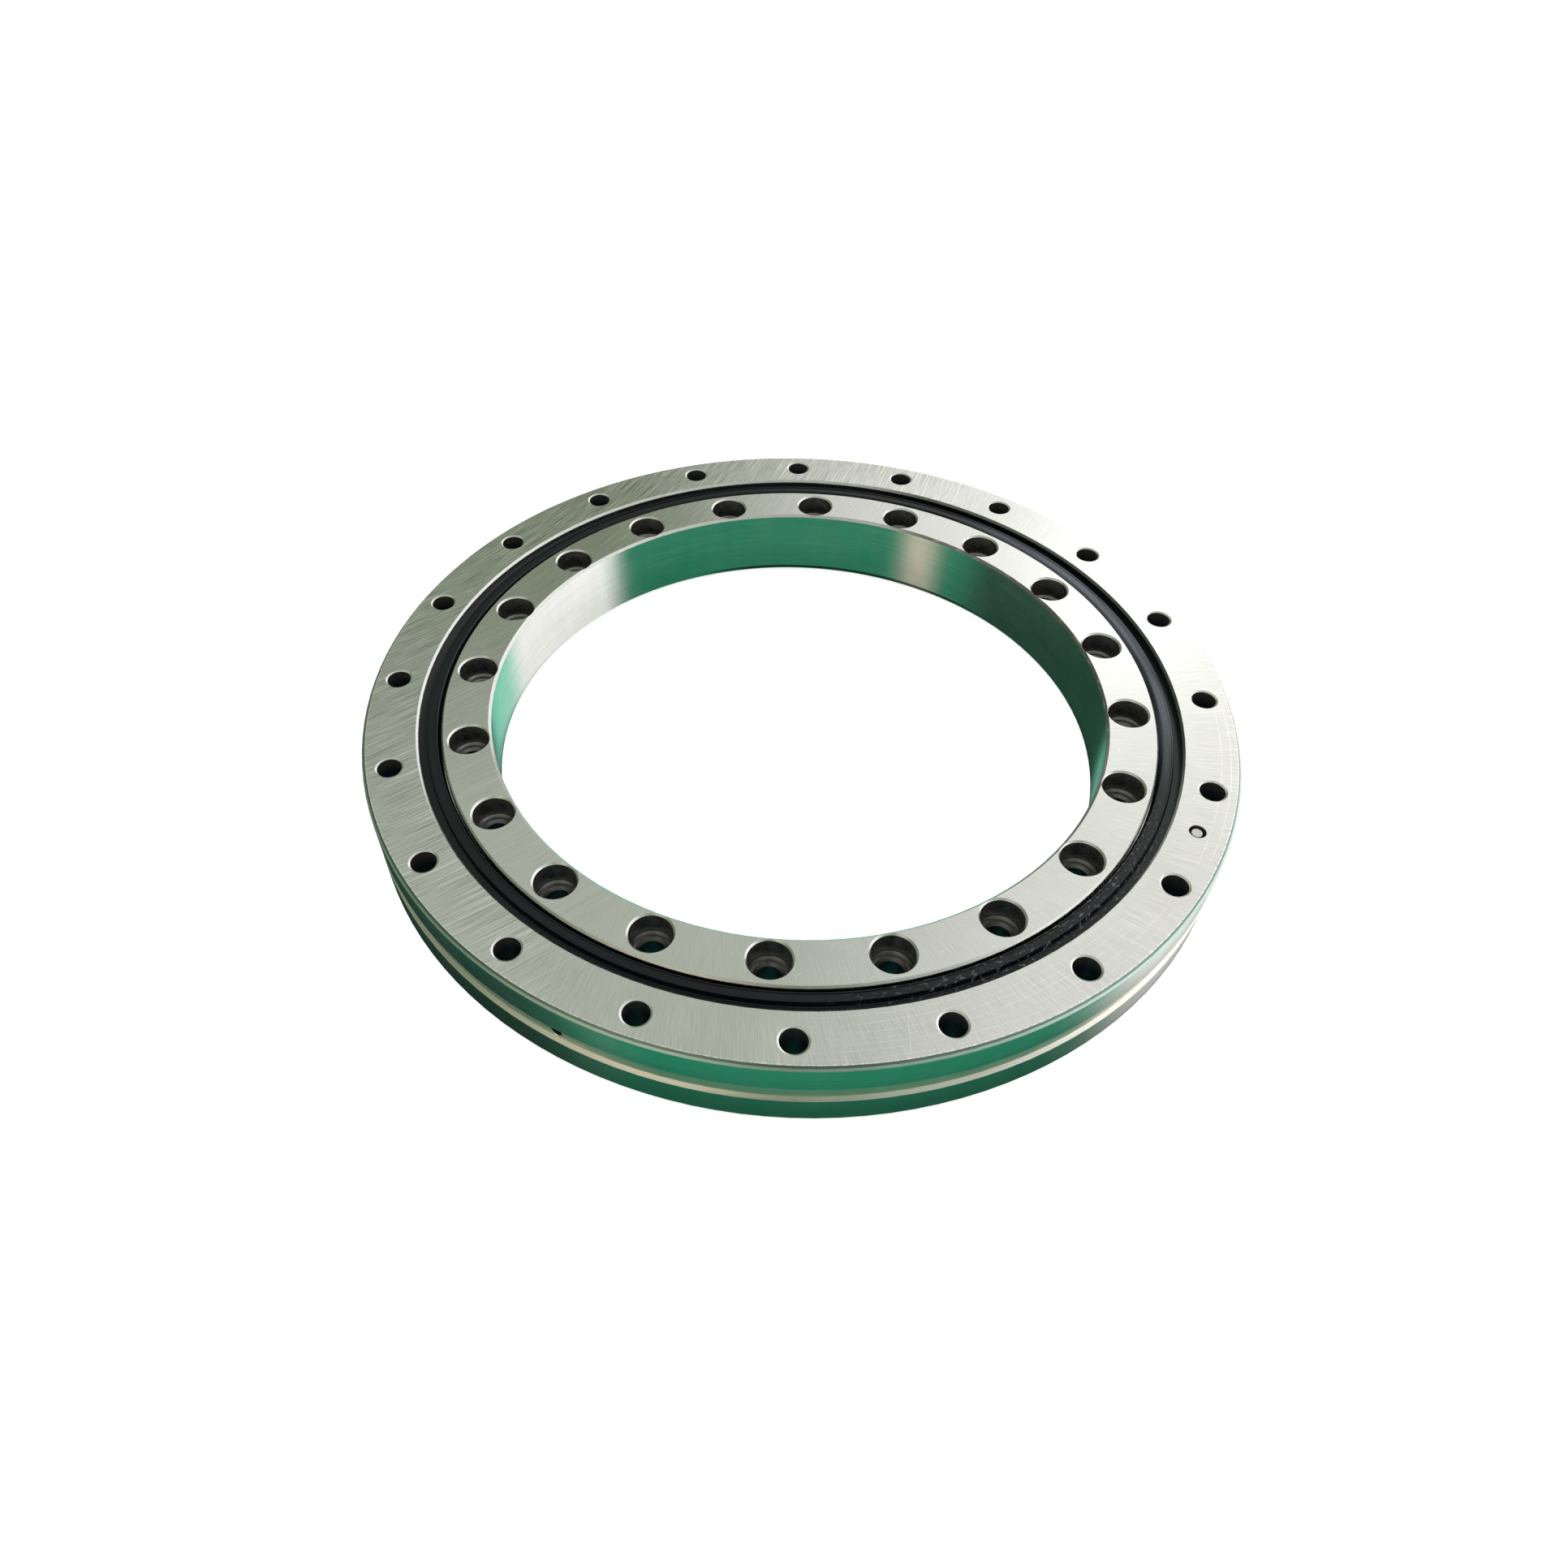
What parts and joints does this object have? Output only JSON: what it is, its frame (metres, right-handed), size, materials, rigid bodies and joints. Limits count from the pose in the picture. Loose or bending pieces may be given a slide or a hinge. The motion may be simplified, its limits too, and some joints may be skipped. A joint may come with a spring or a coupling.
{
  "type": "slewing ring bearing",
  "caption": "Thin crossed-roller slewing ring with a plain bolted outer ring, a counterbored inner ring turning inside it, black seals in the gap and an open centre.",
  "frame": {"origin": "on the axis of rotation, in the plane of the outer ring's bottom face", "axes": "+Z along the axis of rotation, towards the face with the counterbores; +Y towards an outer bolt hole"},
  "size_m": [0.404, 0.404, 0.038],
  "materials": {
    "ring_steel": "ground, with grinding lines and fine scratches",
    "seal_rubber": "satin moulded rubber",
    "pin_steel": "ground end face",
    "roller_steel": "polished",
    "spacer_plastic": "moulded natural nylon"
  },
  "bodies": {
    "outer_assembly": {"outer_ring": "ring_steel", "upper_seal": "seal_rubber", "lower_seal": "seal_rubber", "filling_plug": "ring_steel", "taper_pin": "pin_steel"},
    "inner_ring": {"inner_ring": "ring_steel"},
    "roller_train": {"spacers": "spacer_plastic"},
    "roller_01": {"roller_01": "roller_steel"},
    "roller_02": {"roller_02": "roller_steel"},
    "roller_03": {"roller_03": "roller_steel"},
    "roller_04": {"roller_04": "roller_steel"},
    "roller_05": {"roller_05": "roller_steel"},
    "roller_06": {"roller_06": "roller_steel"},
    "roller_07": {"roller_07": "roller_steel"},
    "roller_08": {"roller_08": "roller_steel"},
    "roller_09": {"roller_09": "roller_steel"},
    "roller_10": {"roller_10": "roller_steel"},
    "roller_11": {"roller_11": "roller_steel"},
    "roller_12": {"roller_12": "roller_steel"},
    "roller_13": {"roller_13": "roller_steel"},
    "roller_14": {"roller_14": "roller_steel"},
    "roller_15": {"roller_15": "roller_steel"},
    "roller_16": {"roller_16": "roller_steel"},
    "roller_17": {"roller_17": "roller_steel"},
    "roller_18": {"roller_18": "roller_steel"},
    "roller_19": {"roller_19": "roller_steel"},
    "roller_20": {"roller_20": "roller_steel"},
    "roller_21": {"roller_21": "roller_steel"},
    "roller_22": {"roller_22": "roller_steel"},
    "roller_23": {"roller_23": "roller_steel"},
    "roller_24": {"roller_24": "roller_steel"},
    "roller_25": {"roller_25": "roller_steel"},
    "roller_26": {"roller_26": "roller_steel"},
    "roller_27": {"roller_27": "roller_steel"},
    "roller_28": {"roller_28": "roller_steel"},
    "roller_29": {"roller_29": "roller_steel"},
    "roller_30": {"roller_30": "roller_steel"},
    "roller_31": {"roller_31": "roller_steel"},
    "roller_32": {"roller_32": "roller_steel"},
    "roller_33": {"roller_33": "roller_steel"},
    "roller_34": {"roller_34": "roller_steel"},
    "roller_35": {"roller_35": "roller_steel"},
    "roller_36": {"roller_36": "roller_steel"},
    "roller_37": {"roller_37": "roller_steel"},
    "roller_38": {"roller_38": "roller_steel"},
    "roller_39": {"roller_39": "roller_steel"},
    "roller_40": {"roller_40": "roller_steel"},
    "roller_41": {"roller_41": "roller_steel"},
    "roller_42": {"roller_42": "roller_steel"},
    "roller_43": {"roller_43": "roller_steel"},
    "roller_44": {"roller_44": "roller_steel"},
    "roller_45": {"roller_45": "roller_steel"},
    "roller_46": {"roller_46": "roller_steel"},
    "roller_47": {"roller_47": "roller_steel"},
    "roller_48": {"roller_48": "roller_steel"}
  },
  "joints": [
    {"name": "inner_ring_spin", "type": "hinge", "parent": "outer_assembly", "child": "inner_ring", "pos_m": [0, 0, 0.019], "axis": [0, 0, 1], "continuous": true},
    {"name": "roller_train_orbit", "type": "hinge", "parent": "outer_assembly", "child": "roller_train", "pos_m": [0, 0, 0.019], "axis": [0, 0, 1], "continuous": true},
    {"name": "roller_01_spin", "type": "hinge", "parent": "roller_train", "child": "roller_01", "pos_m": [0.1716, 0, 0.019], "axis": [0.7071, 0, 0.7071], "continuous": true},
    {"name": "roller_02_spin", "type": "hinge", "parent": "roller_train", "child": "roller_02", "pos_m": [0.17013, 0.0224, 0.019], "axis": [-0.7011, -0.0923, 0.7071], "continuous": true},
    {"name": "roller_03_spin", "type": "hinge", "parent": "roller_train", "child": "roller_03", "pos_m": [0.16575, 0.04441, 0.019], "axis": [0.683, 0.183, 0.7071], "continuous": true},
    {"name": "roller_04_spin", "type": "hinge", "parent": "roller_train", "child": "roller_04", "pos_m": [0.15854, 0.06567, 0.019], "axis": [-0.6533, -0.2706, 0.7071], "continuous": true},
    {"name": "roller_05_spin", "type": "hinge", "parent": "roller_train", "child": "roller_05", "pos_m": [0.14861, 0.0858, 0.019], "axis": [0.6124, 0.3536, 0.7071], "continuous": true},
    {"name": "roller_06_spin", "type": "hinge", "parent": "roller_train", "child": "roller_06", "pos_m": [0.13614, 0.10446, 0.019], "axis": [-0.561, -0.4305, 0.7071], "continuous": true},
    {"name": "roller_07_spin", "type": "hinge", "parent": "roller_train", "child": "roller_07", "pos_m": [0.12134, 0.12134, 0.019], "axis": [0.5, 0.5, 0.7071], "continuous": true},
    {"name": "roller_08_spin", "type": "hinge", "parent": "roller_train", "child": "roller_08", "pos_m": [0.10446, 0.13614, 0.019], "axis": [-0.4305, -0.561, 0.7071], "continuous": true},
    {"name": "roller_09_spin", "type": "hinge", "parent": "roller_train", "child": "roller_09", "pos_m": [0.0858, 0.14861, 0.019], "axis": [0.3536, 0.6124, 0.7071], "continuous": true},
    {"name": "roller_10_spin", "type": "hinge", "parent": "roller_train", "child": "roller_10", "pos_m": [0.06567, 0.15854, 0.019], "axis": [-0.2706, -0.6533, 0.7071], "continuous": true},
    {"name": "roller_11_spin", "type": "hinge", "parent": "roller_train", "child": "roller_11", "pos_m": [0.04441, 0.16575, 0.019], "axis": [0.183, 0.683, 0.7071], "continuous": true},
    {"name": "roller_12_spin", "type": "hinge", "parent": "roller_train", "child": "roller_12", "pos_m": [0.0224, 0.17013, 0.019], "axis": [-0.0923, -0.7011, 0.7071], "continuous": true},
    {"name": "roller_13_spin", "type": "hinge", "parent": "roller_train", "child": "roller_13", "pos_m": [0, 0.1716, 0.019], "axis": [0, 0.7071, 0.7071], "continuous": true},
    {"name": "roller_14_spin", "type": "hinge", "parent": "roller_train", "child": "roller_14", "pos_m": [-0.0224, 0.17013, 0.019], "axis": [0.0923, -0.7011, 0.7071], "continuous": true},
    {"name": "roller_15_spin", "type": "hinge", "parent": "roller_train", "child": "roller_15", "pos_m": [-0.04441, 0.16575, 0.019], "axis": [-0.183, 0.683, 0.7071], "continuous": true},
    {"name": "roller_16_spin", "type": "hinge", "parent": "roller_train", "child": "roller_16", "pos_m": [-0.06567, 0.15854, 0.019], "axis": [0.2706, -0.6533, 0.7071], "continuous": true},
    {"name": "roller_17_spin", "type": "hinge", "parent": "roller_train", "child": "roller_17", "pos_m": [-0.0858, 0.14861, 0.019], "axis": [-0.3536, 0.6124, 0.7071], "continuous": true},
    {"name": "roller_18_spin", "type": "hinge", "parent": "roller_train", "child": "roller_18", "pos_m": [-0.10446, 0.13614, 0.019], "axis": [0.4305, -0.561, 0.7071], "continuous": true},
    {"name": "roller_19_spin", "type": "hinge", "parent": "roller_train", "child": "roller_19", "pos_m": [-0.12134, 0.12134, 0.019], "axis": [-0.5, 0.5, 0.7071], "continuous": true},
    {"name": "roller_20_spin", "type": "hinge", "parent": "roller_train", "child": "roller_20", "pos_m": [-0.13614, 0.10446, 0.019], "axis": [0.561, -0.4305, 0.7071], "continuous": true},
    {"name": "roller_21_spin", "type": "hinge", "parent": "roller_train", "child": "roller_21", "pos_m": [-0.14861, 0.0858, 0.019], "axis": [-0.6124, 0.3536, 0.7071], "continuous": true},
    {"name": "roller_22_spin", "type": "hinge", "parent": "roller_train", "child": "roller_22", "pos_m": [-0.15854, 0.06567, 0.019], "axis": [0.6533, -0.2706, 0.7071], "continuous": true},
    {"name": "roller_23_spin", "type": "hinge", "parent": "roller_train", "child": "roller_23", "pos_m": [-0.16575, 0.04441, 0.019], "axis": [-0.683, 0.183, 0.7071], "continuous": true},
    {"name": "roller_24_spin", "type": "hinge", "parent": "roller_train", "child": "roller_24", "pos_m": [-0.17013, 0.0224, 0.019], "axis": [0.7011, -0.0923, 0.7071], "continuous": true},
    {"name": "roller_25_spin", "type": "hinge", "parent": "roller_train", "child": "roller_25", "pos_m": [-0.1716, 0, 0.019], "axis": [-0.7071, 0, 0.7071], "continuous": true},
    {"name": "roller_26_spin", "type": "hinge", "parent": "roller_train", "child": "roller_26", "pos_m": [-0.17013, -0.0224, 0.019], "axis": [0.7011, 0.0923, 0.7071], "continuous": true},
    {"name": "roller_27_spin", "type": "hinge", "parent": "roller_train", "child": "roller_27", "pos_m": [-0.16575, -0.04441, 0.019], "axis": [-0.683, -0.183, 0.7071], "continuous": true},
    {"name": "roller_28_spin", "type": "hinge", "parent": "roller_train", "child": "roller_28", "pos_m": [-0.15854, -0.06567, 0.019], "axis": [0.6533, 0.2706, 0.7071], "continuous": true},
    {"name": "roller_29_spin", "type": "hinge", "parent": "roller_train", "child": "roller_29", "pos_m": [-0.14861, -0.0858, 0.019], "axis": [-0.6124, -0.3536, 0.7071], "continuous": true},
    {"name": "roller_30_spin", "type": "hinge", "parent": "roller_train", "child": "roller_30", "pos_m": [-0.13614, -0.10446, 0.019], "axis": [0.561, 0.4305, 0.7071], "continuous": true},
    {"name": "roller_31_spin", "type": "hinge", "parent": "roller_train", "child": "roller_31", "pos_m": [-0.12134, -0.12134, 0.019], "axis": [-0.5, -0.5, 0.7071], "continuous": true},
    {"name": "roller_32_spin", "type": "hinge", "parent": "roller_train", "child": "roller_32", "pos_m": [-0.10446, -0.13614, 0.019], "axis": [0.4305, 0.561, 0.7071], "continuous": true},
    {"name": "roller_33_spin", "type": "hinge", "parent": "roller_train", "child": "roller_33", "pos_m": [-0.0858, -0.14861, 0.019], "axis": [-0.3536, -0.6124, 0.7071], "continuous": true},
    {"name": "roller_34_spin", "type": "hinge", "parent": "roller_train", "child": "roller_34", "pos_m": [-0.06567, -0.15854, 0.019], "axis": [0.2706, 0.6533, 0.7071], "continuous": true},
    {"name": "roller_35_spin", "type": "hinge", "parent": "roller_train", "child": "roller_35", "pos_m": [-0.04441, -0.16575, 0.019], "axis": [-0.183, -0.683, 0.7071], "continuous": true},
    {"name": "roller_36_spin", "type": "hinge", "parent": "roller_train", "child": "roller_36", "pos_m": [-0.0224, -0.17013, 0.019], "axis": [0.0923, 0.7011, 0.7071], "continuous": true},
    {"name": "roller_37_spin", "type": "hinge", "parent": "roller_train", "child": "roller_37", "pos_m": [0, -0.1716, 0.019], "axis": [0, -0.7071, 0.7071], "continuous": true},
    {"name": "roller_38_spin", "type": "hinge", "parent": "roller_train", "child": "roller_38", "pos_m": [0.0224, -0.17013, 0.019], "axis": [-0.0923, 0.7011, 0.7071], "continuous": true},
    {"name": "roller_39_spin", "type": "hinge", "parent": "roller_train", "child": "roller_39", "pos_m": [0.04441, -0.16575, 0.019], "axis": [0.183, -0.683, 0.7071], "continuous": true},
    {"name": "roller_40_spin", "type": "hinge", "parent": "roller_train", "child": "roller_40", "pos_m": [0.06567, -0.15854, 0.019], "axis": [-0.2706, 0.6533, 0.7071], "continuous": true},
    {"name": "roller_41_spin", "type": "hinge", "parent": "roller_train", "child": "roller_41", "pos_m": [0.0858, -0.14861, 0.019], "axis": [0.3536, -0.6124, 0.7071], "continuous": true},
    {"name": "roller_42_spin", "type": "hinge", "parent": "roller_train", "child": "roller_42", "pos_m": [0.10446, -0.13614, 0.019], "axis": [-0.4305, 0.561, 0.7071], "continuous": true},
    {"name": "roller_43_spin", "type": "hinge", "parent": "roller_train", "child": "roller_43", "pos_m": [0.12134, -0.12134, 0.019], "axis": [0.5, -0.5, 0.7071], "continuous": true},
    {"name": "roller_44_spin", "type": "hinge", "parent": "roller_train", "child": "roller_44", "pos_m": [0.13614, -0.10446, 0.019], "axis": [-0.561, 0.4305, 0.7071], "continuous": true},
    {"name": "roller_45_spin", "type": "hinge", "parent": "roller_train", "child": "roller_45", "pos_m": [0.14861, -0.0858, 0.019], "axis": [0.6124, -0.3536, 0.7071], "continuous": true},
    {"name": "roller_46_spin", "type": "hinge", "parent": "roller_train", "child": "roller_46", "pos_m": [0.15854, -0.06567, 0.019], "axis": [-0.6533, 0.2706, 0.7071], "continuous": true},
    {"name": "roller_47_spin", "type": "hinge", "parent": "roller_train", "child": "roller_47", "pos_m": [0.16575, -0.04441, 0.019], "axis": [0.683, -0.183, 0.7071], "continuous": true},
    {"name": "roller_48_spin", "type": "hinge", "parent": "roller_train", "child": "roller_48", "pos_m": [0.17013, -0.0224, 0.019], "axis": [-0.7011, 0.0923, 0.7071], "continuous": true}
  ],
  "couplings": [
    {"joint": "roller_train_orbit", "follows": "inner_ring_spin", "ratio": 0.48558},
    {"joint": "roller_01_spin", "follows": "inner_ring_spin", "ratio": -12.247},
    {"joint": "roller_02_spin", "follows": "inner_ring_spin", "ratio": -12.247},
    {"joint": "roller_03_spin", "follows": "inner_ring_spin", "ratio": -12.247},
    {"joint": "roller_04_spin", "follows": "inner_ring_spin", "ratio": -12.247},
    {"joint": "roller_05_spin", "follows": "inner_ring_spin", "ratio": -12.247},
    {"joint": "roller_06_spin", "follows": "inner_ring_spin", "ratio": -12.247},
    {"joint": "roller_07_spin", "follows": "inner_ring_spin", "ratio": -12.247},
    {"joint": "roller_08_spin", "follows": "inner_ring_spin", "ratio": -12.247},
    {"joint": "roller_09_spin", "follows": "inner_ring_spin", "ratio": -12.247},
    {"joint": "roller_10_spin", "follows": "inner_ring_spin", "ratio": -12.247},
    {"joint": "roller_11_spin", "follows": "inner_ring_spin", "ratio": -12.247},
    {"joint": "roller_12_spin", "follows": "inner_ring_spin", "ratio": -12.247},
    {"joint": "roller_13_spin", "follows": "inner_ring_spin", "ratio": -12.247},
    {"joint": "roller_14_spin", "follows": "inner_ring_spin", "ratio": -12.247},
    {"joint": "roller_15_spin", "follows": "inner_ring_spin", "ratio": -12.247},
    {"joint": "roller_16_spin", "follows": "inner_ring_spin", "ratio": -12.247},
    {"joint": "roller_17_spin", "follows": "inner_ring_spin", "ratio": -12.247},
    {"joint": "roller_18_spin", "follows": "inner_ring_spin", "ratio": -12.247},
    {"joint": "roller_19_spin", "follows": "inner_ring_spin", "ratio": -12.247},
    {"joint": "roller_20_spin", "follows": "inner_ring_spin", "ratio": -12.247},
    {"joint": "roller_21_spin", "follows": "inner_ring_spin", "ratio": -12.247},
    {"joint": "roller_22_spin", "follows": "inner_ring_spin", "ratio": -12.247},
    {"joint": "roller_23_spin", "follows": "inner_ring_spin", "ratio": -12.247},
    {"joint": "roller_24_spin", "follows": "inner_ring_spin", "ratio": -12.247},
    {"joint": "roller_25_spin", "follows": "inner_ring_spin", "ratio": -12.247},
    {"joint": "roller_26_spin", "follows": "inner_ring_spin", "ratio": -12.247},
    {"joint": "roller_27_spin", "follows": "inner_ring_spin", "ratio": -12.247},
    {"joint": "roller_28_spin", "follows": "inner_ring_spin", "ratio": -12.247},
    {"joint": "roller_29_spin", "follows": "inner_ring_spin", "ratio": -12.247},
    {"joint": "roller_30_spin", "follows": "inner_ring_spin", "ratio": -12.247},
    {"joint": "roller_31_spin", "follows": "inner_ring_spin", "ratio": -12.247},
    {"joint": "roller_32_spin", "follows": "inner_ring_spin", "ratio": -12.247},
    {"joint": "roller_33_spin", "follows": "inner_ring_spin", "ratio": -12.247},
    {"joint": "roller_34_spin", "follows": "inner_ring_spin", "ratio": -12.247},
    {"joint": "roller_35_spin", "follows": "inner_ring_spin", "ratio": -12.247},
    {"joint": "roller_36_spin", "follows": "inner_ring_spin", "ratio": -12.247},
    {"joint": "roller_37_spin", "follows": "inner_ring_spin", "ratio": -12.247},
    {"joint": "roller_38_spin", "follows": "inner_ring_spin", "ratio": -12.247},
    {"joint": "roller_39_spin", "follows": "inner_ring_spin", "ratio": -12.247},
    {"joint": "roller_40_spin", "follows": "inner_ring_spin", "ratio": -12.247},
    {"joint": "roller_41_spin", "follows": "inner_ring_spin", "ratio": -12.247},
    {"joint": "roller_42_spin", "follows": "inner_ring_spin", "ratio": -12.247},
    {"joint": "roller_43_spin", "follows": "inner_ring_spin", "ratio": -12.247},
    {"joint": "roller_44_spin", "follows": "inner_ring_spin", "ratio": -12.247},
    {"joint": "roller_45_spin", "follows": "inner_ring_spin", "ratio": -12.247},
    {"joint": "roller_46_spin", "follows": "inner_ring_spin", "ratio": -12.247},
    {"joint": "roller_47_spin", "follows": "inner_ring_spin", "ratio": -12.247},
    {"joint": "roller_48_spin", "follows": "inner_ring_spin", "ratio": -12.247}
  ]
}
